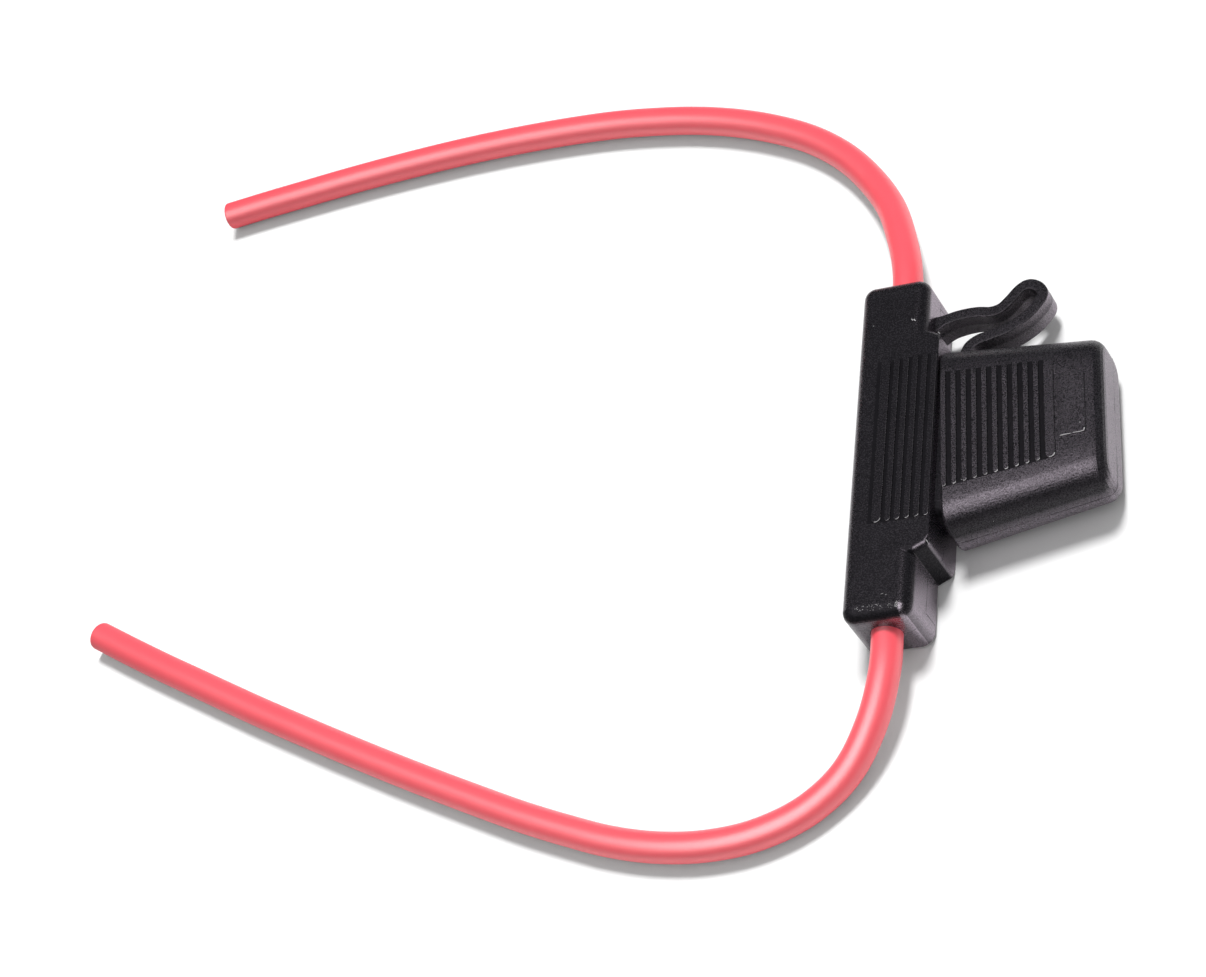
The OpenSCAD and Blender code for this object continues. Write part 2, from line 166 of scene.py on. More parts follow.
def tube(name, line, radius, sides, bore, bore_depth):
    """Insulation: a round tube with softly cut ends and a short open bore at the far end."""
    headings, across, ups = frames_along(line)
    near, far = line[0], line[-1]
    h0, h1 = headings[0], headings[-1]
    rings = [(near + h0 * 0.01, 0, radius - 0.25), (near + h0 * 0.25, 0, radius)]
    rings += [(line[i], i, radius) for i in range(1, len(line) - 1)]
    end = len(line) - 1
    rings += [(far - h1 * 0.3, end, radius), (far - h1 * 0.12, end, radius - 0.03),
              (far - h1 * 0.02, end, radius - 0.14), (far, end, radius - 0.3),
              (far, end, bore + 0.12), (far - h1 * 0.06, end, bore),
              (far - h1 * bore_depth, end, bore)]
    verts, faces = [], []
    for c, i, r in rings:
        for k in range(sides):
            a = 2 * math.pi * k / sides
            verts.append(c + r * (math.cos(a) * ups[i] + math.sin(a) * across[i]))
    n = len(rings)
    for i in range(n - 1):
        for k in range(sides):
            j = (k + 1) % sides
            faces.append((i * sides + k, (i + 1) * sides + k, (i + 1) * sides + j, i * sides + j))
    faces.append(tuple(range(sides)))
    faces.append(tuple((n - 1) * sides + k for k in range(sides - 1, -1, -1)))
    return mesh_object(name, verts, faces)


def strands(name, line, radius, recess):
    """The cut ends of a stranded conductor, just inside the insulation's far end."""
    headings, across, ups = frames_along(line)
    far, h, s, u = line[-1], headings[-1], across[-1], ups[-1]
    rows = 4
    pitch = 2 * radius / (2 * rows + 1)
    centres = []
    for q in range(-rows, rows + 1):
        for r in range(-rows, rows + 1):
            x, y = pitch * (q + r / 2), pitch * r * math.sqrt(3) / 2
            if math.hypot(x, y) < radius - pitch * 0.55:
                centres.append((x, y))
    verts, faces = [], []
    sides = 10
    for x, y in centres:
        c = far + s * x + u * y
        top = -recess + random.uniform(-0.12, 0.12)
        for depth, r in ((-2.2, 0.5), (top - 0.05, 0.5), (top, 0.42)):
            for k in range(sides):
                a = 2 * math.pi * k / sides
                verts.append(c + h * depth + pitch * r * (math.cos(a) * s + math.sin(a) * u))
        b = len(verts) - 3 * sides
        for i in range(2):
            for k in range(sides):
                j = (k + 1) % sides
                faces.append((b + i * sides + k, b + (i + 1) * sides + k,
                              b + (i + 1) * sides + j, b + i * sides + j))
        faces.append(tuple(b + 2 * sides + k for k in range(sides - 1, -1, -1)))
    return mesh_object(name, verts, faces, smooth=False)


leads = {}
copper_ends = []
for lead_name, route, side in (("upper_lead", UPPER_ROUTE, 1), ("lower_lead", LOWER_ROUTE, -1)):
    line = lead_line(route, side)
    sheath = tube(lead_name + "_sheath", line, LEAD_D / 2, 48, CONDUCTOR_D / 2, 0.9)
    wire_end = strands(lead_name + "_strands", line, CONDUCTOR_D / 2, 0.35)
    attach(sheath, "holder")
    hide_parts(lead_name)
    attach(wire_end, "holder")
    leads[lead_name] = sheath
    copper_ends.append(wire_end)

# The strap: the CAD's middle line, with rounded edges and a parting groove on each side
STRAP_T, STRAP_H, STRAP_ROOT = 2.4, 6.2, 1.3
STRAP_MID_Z = MID_Z - 0.7
STRAP_Y = CAP_W / 2 + CAP_SHIFT + 4.65
STRAP_POINTS = [
    (0, 4.6), (3.3, 5.6), (6.4, 6), (9.4, 5.9), (12.1, 5.4), (14.5, 5.9),
    (16.5, 7.7), (18.3, 9.7), (19.8, 10.6), (21.2, 10.5), (22.6, 9.6), (23.5, 8.2),
    (23.5, 6.8), (22.6, 5.3), (21, 3.5), (19, 2), (17, 0.9), (14.9, 0.1),
    (12, -0.6), (9.8, -1.1), (8, -2.2), (7.2, -3.8),
]
STRAP_END_U = 7.1 + SIDE_X - CAP_X
STRAP_END_Y = (CAP_W / 2 + CAP_SHIFT - CAP_SLOPE_Y * STRAP_END_U
               + STRAP_END_U * math.sin(math.radians(CAP_SKEW)) + 0.12)


def strap_piece():
    points = [(SIDE_X + x, STRAP_Y + y) for x, y in STRAP_POINTS] + [(SIDE_X + 7.1, STRAP_END_Y)]
    line = smooth_line(points, 8)
    line = np.vstack([[line[0][0] - 0.4, line[0][1] - 0.1], line, [line[-1][0], line[-1][1] - 0.7]])
    headings = np.gradient(line, axis=0)
    headings /= np.linalg.norm(headings, axis=1)[:, None]
    r = 0.16
    half = STRAP_H / 2
    groove = 0.2
    verts, faces = [], []
    for (x, y), h in zip(line, headings):
        k = STRAP_T / 2
        if y > STRAP_Y:
            k += STRAP_ROOT / 2 * max(0, 1 - (x - SIDE_X) / 3) ** 2
        profile = [(k - r - 0.2, -half), (k - r, -half)]
        profile += [(k - r + r * math.sin(a), -half + r - r * math.cos(a))
                    for a in (math.pi / 6, math.pi / 3)]
        profile += [(k, -half + r), (k, -half + r + 0.25), (k, groove - 0.12), (k + 0.03, groove - 0.05),
                    (k - 0.09, groove), (k + 0.03, groove + 0.05), (k, groove + 0.12),
                    (k, half - r - 0.25), (k, half - r)]
        profile += [(k - r + r * math.cos(a), half - r + r * math.sin(a))
                    for a in (math.pi / 6, math.pi / 3)]
        profile += [(k - r, half), (k - r - 0.2, half)]
        profile += [(-o, z) for o, z in reversed(profile)]
        for o, z in profile:
            verts.append((x - h[1] * o, y + h[0] * o, STRAP_MID_Z + z))
    m = len(profile)
    for i in range(len(line) - 1):
        for k in range(m):
            j = (k + 1) % m
            faces.append((i * m + k, i * m + j, (i + 1) * m + j, (i + 1) * m + k))
    faces.append(tuple(range(m - 1, -1, -1)))
    faces.append(tuple((len(line) - 1) * m + k for k in range(m)))
    return mesh_object("strap", verts, faces)


strap = strap_piece()
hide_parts("tether_strap")
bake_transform(strap)


# Seams, mould marks, and painted highlights on edges and corners: narrow ribbons that lie on the surfaces
def ribbon(name, runs, body, smallest, largest, blend=None, sway=0.02):
    """runs is a list of (points, normal); the width wanders between two limits."""
    verts, faces = [], []
    for points, normal in runs:
        p = np.array(points, float)
        steps = []
        for a, b in zip(p[:-1], p[1:]):
            n = max(1, int(np.linalg.norm(b - a) / 0.45))
            steps += [a + (b - a) * i / n for i in range(n)]
        steps.append(p[-1])
        steps = np.array(steps)
        headings = np.gradient(steps, axis=0)
        headings /= np.linalg.norm(headings, axis=1)[:, None]
        base = len(verts)
        width = random.uniform(smallest, largest)
        for i, (c, h) in enumerate(zip(steps, headings)):
            n = normal(c) if callable(normal) else np.array(normal, float)
            n = n / np.linalg.norm(n)
            s = np.cross(n, h)
            s /= np.linalg.norm(s)
            width += random.uniform(-0.35, 0.35) * (largest - smallest)
            width = min(largest, max(smallest, width))
            wander = random.uniform(-sway, sway)
            for side in (-0.5, 0.5):
                verts.append(c + n * 0.012 + s * (side * width + wander))
            if i:
                b = base + 2 * i
                faces.append((b - 2, b, b + 1, b - 1))
    obj = mesh_object(name, verts, faces)
    if blend:
        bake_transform(obj)
    else:
        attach(obj, body)
    return obj


def on_cap(u, y, z):
    a = math.radians(CAP_SKEW)
    return (CAP_X + u * math.cos(a) - y * math.sin(a), CAP_SHIFT + u * math.sin(a) + y * math.cos(a), z)


def cap_seam():
    """The parting line round the cap, a little below its mid height."""
    side_end = CAP_L - CAP_NOSE
    lean = math.atan(CAP_SLOPE_Y)
    turn = math.radians(CAP_SKEW)
    runs = []
    for side in (-1, 1):
        first = 1.2 if side < 0 else 4.6
        along = [(u, side * (CAP_W / 2 - CAP_SLOPE_Y * u)) for u in np.linspace(first, side_end, 40)]
        corner_y = CAP_W / 2 - CAP_SLOPE_Y * side_end - CAP_NOSE
        corner = [(side_end + CAP_NOSE * math.sin(a), side * (corner_y + CAP_NOSE * math.cos(a)))
                  for a in np.linspace(0.1, math.pi / 2, 8)]
        local = along + corner
        normals = [(math.sin(lean), side * math.cos(lean))] * len(along)
        normals += [(math.sin(a), side * math.cos(a)) for a in np.linspace(0.1, math.pi / 2, 8)]
        points = [on_cap(u, y, SEAM_Z) for u, y in local]
        table = [((c * math.cos(turn) - s * math.sin(turn), c * math.sin(turn) + s * math.cos(turn)), p)
                 for (c, s), p in zip(normals, points)]

        def normal(c, table=table):
            best = min(table, key=lambda row: (row[1][0] - c[0]) ** 2 + (row[1][1] - c[1]) ** 2)
            return np.array((best[0][0], best[0][1], 0))

        runs.append((points, normal))
    end_y = CAP_W / 2 - CAP_SLOPE_Y * side_end - CAP_NOSE
    runs.append(([on_cap(CAP_L, -end_y, SEAM_Z), on_cap(CAP_L, end_y, SEAM_Z)],
                 (math.cos(turn), math.sin(turn), 0)))
    return ribbon("cap_seam", runs, "cap", 0.03, 0.2)


def corner_arc(z0, z1, side, a0, a1):
    """A line round a lower or upper end corner of the bar, on the side of the cap."""
    c = BAR_L / 2 - 2.9
    return [(SIDE_X - 2.9 + 2.9 * math.sin(a), side * (c + 2.9 * math.cos(a)),
             z0 + (z1 - z0) * (a - a0) / (a1 - a0)) for a in np.linspace(a0, a1, 8)]


def corner_normal(side):
    def normal(c):
        return np.array((c[0] - (SIDE_X - 2.9), c[1] - side * (BAR_L / 2 - 2.9), 0))
    return normal


def rib_lines(first, count, pitch, width, last_width, lengths, place):
    """Painted highlight lines along the outer top edge of each rib, and painted highlight arcs at its -Y end.
    """
    edges, tips = [], []
    for i in range(count):
        w = last_width if i == count - 1 else width
        x = first + i * pitch + (math.copysign(last_width - width, pitch) / 2 if i == count - 1 else 0)
        half, r = lengths[i] / 2, w / 2 - 0.05
        stop = half - w / 2
        edges.append(([place(x + r, -stop), place(x + r, stop)], (0, 0, 1)))
        arc = [place(x + r * math.cos(a), -stop - r * math.sin(a)) for a in np.linspace(0.15, 1.9, 9)]
        tips.append((arc, (0, 0, 1)))
    return edges, tips


def corner_dashes():
    """Short painted highlight strokes on the top edge of the bar's -Y end, most of them at its corner."""
    runs = []
    r, cx, cy, cz = 2.9, SIDE_X - 2.9, -BAR_L / 2 + 2.9, BAR_T - 2.9
    for i in range(80):
        lean = random.uniform(0.08, 0.5)
        turn = random.uniform(-0.25, 0.85) if i < 34 else 0
        shift = 0 if i < 34 else random.uniform(-9, -0.5)
        n = np.array((math.sin(turn) * math.sin(lean), -math.cos(turn) * math.sin(lean), math.cos(lean)))
        c = np.array((cx + shift, cy, cz)) + r * n
        step = np.array((math.cos(turn), math.sin(turn), 0)) * random.uniform(0.03, 0.1)
        runs.append(([tuple(c - step), tuple(c + step)], tuple(n)))
    return runs


def bar_place(x, y):
    return (x, y + 0.6, BAR_T + 0.35)


def cap_place(u, y):
    return on_cap(u, y + 0.7, BAR_T + 0.36 - CAP_SLOPE_Z * u)


def strap_edge_line(side, z, start, end):
    """A painted highlight line on one of the strap's long edges, where that side looks towards -Y."""
    points = [(SIDE_X + x, STRAP_Y + y) for x, y in STRAP_POINTS]
    line = smooth_line(points, 6)
    headings = np.gradient(line, axis=0)
    headings /= np.linalg.norm(headings, axis=1)[:, None]
    runs, run = [], []
    for (x, y), h in list(zip(line, headings))[start:end]:
        across = side * np.array((-h[1], h[0]))
        if across[1] < -0.2:
            run.append((x + across[0] * (STRAP_T / 2 - 0.1), y + across[1] * (STRAP_T / 2 - 0.1), z))
        else:
            if len(run) > 3:
                runs.append((run, (0, 0, 1)))
            run = []
    if len(run) > 3:
        runs.append((run, (0, 0, 1)))
    return runs


BAR_RIB_EDGES, BAR_RIB_TIPS = rib_lines(SHOULDER_X - 0.2 - 1.25 / 2, 6, -2.07, 1.25, 2, [39.4] * 6, bar_place)
CAP_RIB_LENGTHS = [28.2 - 4.3 * i / 10 for i in range(11)]
CAP_RIB_EDGES, CAP_RIB_TIPS = rib_lines(0.8, 11, 2.2, 1.05, 2, CAP_RIB_LENGTHS, cap_place)
PAD_Z = BAR_T + 0.36 - CAP_SLOPE_Z * 28
# Painted highlight along the -Y edge of the cap's pad
pad_line = [cap_place(u, y) for u, y in ((25.4, -7.3), (26.8, -7.26), (27.6, -7.3))]
pad_line_2 = [cap_place(u, y) for u, y in ((28.1, -7.2), (29.6, -7.27), (30.3, -7.15), (30.5, -6.5))]
# Painted highlights: light lines along the rib, pad, shoulder and strap edges where light catches them
edge_highlight_ribbons = [
    ribbon("bar_rib_edges", BAR_RIB_EDGES, "holder", 0.03, 0.07, sway=0.004),
    ribbon("cap_rib_edges", CAP_RIB_EDGES + [
        ([cap_place(30.6, -7), cap_place(30.6, 7)], (0, 0, 1)),
        ([cap_place(25.2, 7.3), cap_place(30.4, 7.3)], (0, 0, 1)),
    ], "cap", 0.03, 0.06, sway=0.004),
    ribbon("shoulder_edges", [
        ([(SHOULDER_X - 0.02, 24.2, BAR_T), (SHOULDER_X - 0.02, 20.6, BAR_T)], (0.3, 0, 1)),
        ([(SIDE_X + 0.04, -26.8, 14.2), (SIDE_X + 0.04, -26.84, 0.5)], (0.7, -0.7, 0)),
    ], "holder", 0.08, 0.13),
    ribbon("strap_edges", strap_edge_line(-1, STRAP_MID_Z + STRAP_H / 2, 4, 60)
           + strap_edge_line(1, STRAP_MID_Z + STRAP_H / 2, 60, 128), "holder", 0.05, 0.16, "cap"),
]
# Painted glints: bright arcs at the rib ends and on the cap's pad, and small bright strokes on the shoulder,
# the bar's top and its -Y corner
glints = [
    ribbon("bar_rib_tips", BAR_RIB_TIPS, "holder", 0.04, 0.12),
    ribbon("cap_rib_tips", CAP_RIB_TIPS + [(pad_line, (0, 0, 1)), (pad_line_2, (0, 0, 1))],
           "cap", 0.08, 0.2),
    ribbon("shoulder_glints", [
        ([(7.0, -26.1, 15.38), (7.3, -26.5, 14.95), (7.62, -26.8, 14.3)], (0.3, -0.6, 0.8)),
        ([(10.45, -24.75, BAR_T), (10.75, -25.2, 15.2), (10.8, -25.5, 14.7)], (0.5, -0.5, 0.7)),
        ([(10.2, 26.0, 14.6), (10.7, 25.3, 14.9)], (0.5, 0.5, 0.7)),
        ([(4.4, 29.9, BAR_T), (4.7, 29.5, BAR_T), (5.0, 29.7, BAR_T), (5.3, 29.2, BAR_T)], (0, 0, 1)),
        ([(1.4, -35.9, BAR_T), (1.9, -35.8, BAR_T)], (0, 0, 1)),
        ([(2.4, -36.2, BAR_T), (2.7, -36.1, BAR_T)], (0, 0, 1)),
    ], "holder", 0.07, 0.2),
    ribbon("corner_glints", corner_dashes(), "holder", 0.04, 0.1),
]

seams = [
    cap_seam(),
    ribbon("bar_seam", [
        ([(SIDE_X, -26.9, SEAM_Z - 0.2), (SIDE_X, -36.4, SEAM_Z)], (1, 0, 0)),
        ([(SIDE_X, -36.4, SEAM_Z), (SIDE_X, -36.4, 1.2)], (1, 0, 0)),
        ([(3.4, -BAR_L / 2, 6.95), (4.7, -BAR_L / 2, 7.25)], (0, -1, 0)),
        (corner_arc(7.25, 7.7, -1, 0, 0.8), corner_normal(-1)),
        ([(SIDE_X, 33.6, 7.5), (SIDE_X, 36.8, 7.7)], (1, 0, 0)),
        ([(SIDE_X, 38.0, 8.1), (SIDE_X, 37.9, 7.3), (SIDE_X, 36.8, 7.7), (SIDE_X, 37.0, 5.0),
          (SIDE_X, 37.1, 1.2)], (1, 0, 0)),
        ([(-SIDE_X, -36.4, SEAM_Z), (-SIDE_X, 37.2, SEAM_Z)], (-1, 0, 0)),
        ([(-SIDE_X, -36.4, SEAM_Z), (-SIDE_X, -36.4, 1.2)], (-1, 0, 0)),
        ([(-SIDE_X, 37.2, SEAM_Z), (-SIDE_X, 37.2, 1.2)], (-1, 0, 0)),
        ([(SHOULDER_X, -26, 7), (SHOULDER_X, -22.6, 7)], (1, 0, 0)),
        ([(SHOULDER_X, 22.9, 7), (SHOULDER_X, 26, 7)], (1, 0, 0)),
    ], "holder", 0.05, 0.12),
]
marks = [
    ribbon("mould_marks", [
        ([(-4.6, -36.6, BAR_T), (-1.2, -36.45, BAR_T), (1.9, -36.5, BAR_T), (4.6, -36.4, BAR_T)], (0, 0, 1)),
        ([(-4.6, 37.3, BAR_T), (4.6, 37.2, BAR_T)], (0, 0, 1)),
    ], "holder", 0.015, 0.05),
]


# Materials
def new_material(name):
    material = bpy.data.materials.new(name)
    material.use_nodes = True
    nodes = material.node_tree.nodes
    links = material.node_tree.links
    return material, nodes, links, nodes["Principled BSDF"]


def math_node(nodes, links, operation, a, b=None, clamp=False):
    node = nodes.new("ShaderNodeMath")
    node.operation = operation
    node.use_clamp = clamp
    for socket, value in zip(node.inputs, (a, b)):
        if value is None:
            continue
        if isinstance(value, (int, float)):
            socket.default_value = value
        else:
            links.new(value, socket)
    return node.outputs[0]


def noise(nodes, links, place, scale, detail=2, rough=0.5):
    texture = nodes.new("ShaderNodeTexNoise")
    texture.inputs["Scale"].default_value = scale
    texture.inputs["Detail"].default_value = detail
    texture.inputs["Roughness"].default_value = rough
    links.new(place, texture.inputs["Vector"])
    return texture.outputs["Fac"]


def ramp(nodes, links, value, low, high, first, last):
    """Maps value from low..high to two numbers."""
    node = nodes.new("ShaderNodeMapRange")
    node.inputs["From Min"].default_value = low
    node.inputs["From Max"].default_value = high
    node.inputs["To Min"].default_value = first
    node.inputs["To Max"].default_value = last
    links.new(value, node.inputs["Value"])
    return node.outputs["Result"]


def colour_mix(nodes, links, fac, a, b):
    node = nodes.new("ShaderNodeMix")
    node.data_type = "RGBA"
    links.new(fac, node.inputs["Factor"])
    for socket, value in ((node.inputs[6], a), (node.inputs[7], b)):
        if isinstance(value, tuple):
            socket.default_value = value
        else:
            links.new(value, socket)
    return node.outputs[2]


def dust(nodes, links, place, cells, size, share):
    """1 on a few tiny specks, 0 elsewhere."""
    texture = nodes.new("ShaderNodeTexVoronoi")
    texture.inputs["Scale"].default_value = cells
    links.new(place, texture.inputs["Vector"])
    near = ramp(nodes, links, texture.outputs["Distance"], size * 0.6 * cells, size * cells, 1, 0)
    split = nodes.new("ShaderNodeSeparateColor")
    links.new(texture.outputs["Color"], split.inputs["Color"])
    chosen = math_node(nodes, links, "GREATER_THAN", split.outputs["Red"], 1 - share)
    return math_node(nodes, links, "MULTIPLY", near, chosen)


def plastic(name, grain, scale, groove=None, crown=None):
    """Fine-grained black moulding. groove is (turn, shift, x0, x1, y_middle, y_half, narrowing,
    top, lean): the ribbed field, with smoother grooves. crown is (half width, taper,
    start, slope): the softly falling strip along both long edges, in mm and 1/mm."""
    material, nodes, links, shader = new_material(name)
    coords = nodes.new("ShaderNodeTexCoord").outputs["Object"]
    mottle = noise(nodes, links, coords, 160, 3, 0.6)
    fine = noise(nodes, links, coords, scale, 2, 0.75)
    specks = dust(nodes, links, coords, 260, 0.00011, 0.55)
    amount = ramp(nodes, links, fine, 0.36, 0.66, 0, 1)
    if groove:
        turn, shift, x0, x1, y_middle, y_half, narrowing, top, lean = groove
        mapping = nodes.new("ShaderNodeMapping")
        a = -math.radians(turn)
        mapping.inputs["Rotation"].default_value = (0, 0, a)
        sx, sy = shift
        mapping.inputs["Location"].default_value = (
            -(sx * math.cos(a) - sy * math.sin(a)) * MM, -(sx * math.sin(a) + sy * math.cos(a)) * MM, 0)
        links.new(coords, mapping.inputs["Vector"])
        split = nodes.new("ShaderNodeSeparateXYZ")
        links.new(mapping.outputs["Vector"], split.inputs["Vector"])
        x, y, z = split.outputs
        inside = math_node(nodes, links, "MULTIPLY",
                           math_node(nodes, links, "GREATER_THAN", x, x0 * MM),
                           math_node(nodes, links, "LESS_THAN", x, x1 * MM))
        off = math_node(nodes, links, "ABSOLUTE", math_node(nodes, links, "SUBTRACT", y, y_middle * MM))
        off = math_node(nodes, links, "ADD", off, math_node(nodes, links, "MULTIPLY", x, narrowing))
        inside = math_node(nodes, links, "MULTIPLY", inside,
                           math_node(nodes, links, "LESS_THAN", off, y_half * MM))
        plane = math_node(nodes, links, "ADD", z, math_node(nodes, links, "MULTIPLY", x, lean))
        low = math_node(nodes, links, "LESS_THAN", plane, (top + 0.2) * MM)
        inside = math_node(nodes, links, "MULTIPLY", inside, low)
        # The grooves between the ribs get less grain, so they are smoother, darker and reflect less
        amount = math_node(nodes, links, "MULTIPLY", amount, ramp(nodes, links, inside, 0, 1, 1, 0.3))
    height = math_node(nodes, links, "MULTIPLY", amount, 0.045 * grain)
    if crown:
        width, taper, start, slope = crown
        edge = math_node(nodes, links, "ADD", math_node(nodes, links, "ABSOLUTE", y),
                         math_node(nodes, links, "MULTIPLY", x, taper))
        past = math_node(nodes, links, "MAXIMUM",
                         math_node(nodes, links, "SUBTRACT", edge, (width - start) * MM), 0)
        near = math_node(nodes, links, "MINIMUM", past, 4 * MM)
        reach = math_node(nodes, links, "SUBTRACT", past, math_node(nodes, links, "MULTIPLY", near, 0.5))
        fall = math_node(nodes, links, "MULTIPLY", math_node(nodes, links, "MULTIPLY", near, reach),
                         -slope / MM / MM)
        height = math_node(nodes, links, "ADD", height, fall)
    dark = tuple(c * (1 - 0.4 * grain) for c in (0.0088, 0.0086, 0.0102)) + (1,)
    light = tuple(c * (1 + 1.5 * grain) for c in (0.0105, 0.0102, 0.0118)) + (1,)
    tone = colour_mix(nodes, links, amount, dark, light)
    cloudy = colour_mix(nodes, links, mottle, (0.75, 0.75, 0.75, 1), (1.25, 1.25, 1.25, 1))
    tinted = nodes.new("ShaderNodeMix")
    tinted.data_type = "RGBA"
    tinted.blend_type = "MULTIPLY"
    tinted.inputs["Factor"].default_value = 1
    links.new(tone, tinted.inputs[6])
    links.new(cloudy, tinted.inputs[7])
    tone = colour_mix(nodes, links, specks, tinted.outputs[2], (0.55, 0.55, 0.56, 1))
    links.new(tone, shader.inputs["Base Color"])
    links.new(ramp(nodes, links, amount, 0, 1, 0.24, 0.24 + 0.12 * grain), shader.inputs["Roughness"])
    shader.inputs["IOR"].default_value = 2.2
    shader.inputs["Specular Tint"].default_value = (1, 0.87, 1, 1)
    facing = nodes.new("ShaderNodeSeparateXYZ")
    links.new(nodes.new("ShaderNodeTexCoord").outputs["Normal"], facing.inputs["Vector"])
    nx, ny, nz = facing.outputs
    # Reflection strength: the grain sets part of it, and the rest is painted reflection by which way a face
    # looks, strongest on faces that look towards +X
    outward = math_node(nodes, links, "POWER", math_node(nodes, links, "MAXIMUM", nx, 0), 4)
    gloss_and_painted_reflection = math_node(nodes, links, "MULTIPLY", ramp(nodes, links, amount, 0, 1, 0.85 - 0.75 * grain, 1.1),
                      ramp(nodes, links, outward, 0, 1, 0.38, 1.15 if crown else 1.35))
    # Painted shade in reflections: the edges that look up and towards +X reflect less, and so do the top edges
    # of the -Y ends
    nose = math_node(nodes, links, "MULTIPLY", ramp(nodes, links, nx, 0.3, 0.6, 0, 1),
                     ramp(nodes, links, nz, 0.02, 0.3, 0, 0.85))
    gloss_and_painted_reflection = math_node(nodes, links, "MULTIPLY", gloss_and_painted_reflection, math_node(nodes, links, "SUBTRACT", 1, nose))
    if crown:
        # Painted reflection on the cap: its side that looks towards -Y reflects weakly above 9 mm and strongly
        # near the bottom, and its top a little less
        low_half = ramp(nodes, links, z, 0.009, 0.0025, 0.2, 4.5)
        side = ramp(nodes, links, ny, -0.6, -0.82, 0, 1)
        shade = nodes.new("ShaderNodeMix")
        links.new(side, shade.inputs[0])
        shade.inputs[2].default_value = 1
        links.new(low_half, shade.inputs[3])
        gloss_and_painted_reflection = math_node(nodes, links, "MULTIPLY", gloss_and_painted_reflection, shade.outputs[0])
        gloss_and_painted_reflection = math_node(nodes, links, "MULTIPLY", gloss_and_painted_reflection, ramp(nodes, links, nz, 0.6, 0.85, 1, 0.84))
    elif not groove:
        # Painted shade in reflections: the strap's top faces reflect half as much
        gloss_and_painted_reflection = math_node(nodes, links, "MULTIPLY", gloss_and_painted_reflection, ramp(nodes, links, nz, 0.8, 0.97, 1, 0.5))
    else:
        end = math_node(nodes, links, "MULTIPLY", ramp(nodes, links, ny, -0.03, -0.18, 0, 0.95),
                        ramp(nodes, links, nz, 0.1, 0.35, 0, 1))
        end = math_node(nodes, links, "MULTIPLY", end, ramp(nodes, links, nx, 0.08, 0.25, 1, 0))
        gloss_and_painted_reflection = math_node(nodes, links, "MULTIPLY", gloss_and_painted_reflection, math_node(nodes, links, "SUBTRACT", 1, end))
        # Painted shade in reflections: the flat tops reflect a third as much
        gloss_and_painted_reflection = math_node(nodes, links, "MULTIPLY", gloss_and_painted_reflection, ramp(nodes, links, nz, 0.97, 0.995, 1, 0.33))
        # Painted reflection: the shoulder's lower end reflects less than the bar's, and the bar's end reflects
        # most beside the exit
        shoulder_end_painted_shade = math_node(nodes, links, "MULTIPLY", ramp(nodes, links, ny, -0.7, -0.85, 0, 0.93),
                         math_node(nodes, links, "GREATER_THAN", y, -0.03))
        gloss_and_painted_reflection = math_node(nodes, links, "MULTIPLY", gloss_and_painted_reflection, math_node(nodes, links, "SUBTRACT", 1, shoulder_end_painted_shade))
        beside = math_node(nodes, links, "MULTIPLY", ramp(nodes, links, x, 0.002, 0.0035, 0, 2),
                           math_node(nodes, links, "LESS_THAN", y, -0.0402))
        gloss_and_painted_reflection = math_node(nodes, links, "MULTIPLY", gloss_and_painted_reflection, math_node(nodes, links, "ADD", 1, beside))
        # Painted highlight: the bar's corner at its -Y end reflects more, so it shines softly
        corner = math_node(nodes, links, "MULTIPLY",
                           ramp(nodes, links, math_node(nodes, links, "MULTIPLY", nx, ny), -0.02, -0.08, 0, 1),
                           ramp(nodes, links, nz, 0.4, 0.7, 0, 1))
        corner = math_node(nodes, links, "MULTIPLY", corner, math_node(nodes, links, "LESS_THAN", y, -0.0365))
        gloss_and_painted_reflection = math_node(nodes, links, "MULTIPLY", gloss_and_painted_reflection, math_node(nodes, links, "ADD", 1, corner))
    links.new(gloss_and_painted_reflection, shader.inputs["Specular IOR Level"])
    bevel = nodes.new("ShaderNodeBevel")
    bevel.samples = 6
    bevel.inputs["Radius"].default_value = 0.0002
    bump = nodes.new("ShaderNodeBump")
    bump.inputs["Distance"].default_value = MM
    bump.inputs["Strength"].default_value = 1
    links.new(height, bump.inputs["Height"])
    links.new(bevel.outputs["Normal"], bump.inputs["Normal"])
    links.new(bump.outputs["Normal"], shader.inputs["Normal"])
    return material


def insulation():
    material, nodes, links, shader = new_material("lead_insulation")
    coords = nodes.new("ShaderNodeTexCoord").outputs["Object"]
    cloud = noise(nodes, links, coords, 60, 2)
    fine = noise(nodes, links, coords, 1800, 2)
    specks = dust(nodes, links, coords, 110, 0.0001, 0.12)
    tone = colour_mix(nodes, links, cloud, (0.98, 0.082, 0.112, 1), (1.0, 0.1, 0.132, 1))
    tone = colour_mix(nodes, links, specks, tone, (0.35, 0.03, 0.04, 1))
    # Light that bounces off the leads is greyish, not red: diffuse rays see this colour, so the shade the
    # leads cast stays neutral
    path = nodes.new("ShaderNodeLightPath")
    tone = colour_mix(nodes, links, path.outputs["Is Diffuse Ray"], tone, (0.6, 0.5, 0.5, 1))
    links.new(tone, shader.inputs["Base Color"])
    links.new(ramp(nodes, links, fine, 0.3, 0.7, 0.38, 0.46), shader.inputs["Roughness"])
    shader.inputs["IOR"].default_value = 1.6
    shader.inputs["Specular IOR Level"].default_value = 1
    bump = nodes.new("ShaderNodeBump")
    bump.inputs["Distance"].default_value = 0.00002
    bump.inputs["Strength"].default_value = 0.25
    links.new(fine, bump.inputs["Height"])
    links.new(bump.outputs["Normal"], shader.inputs["Normal"])
    return material


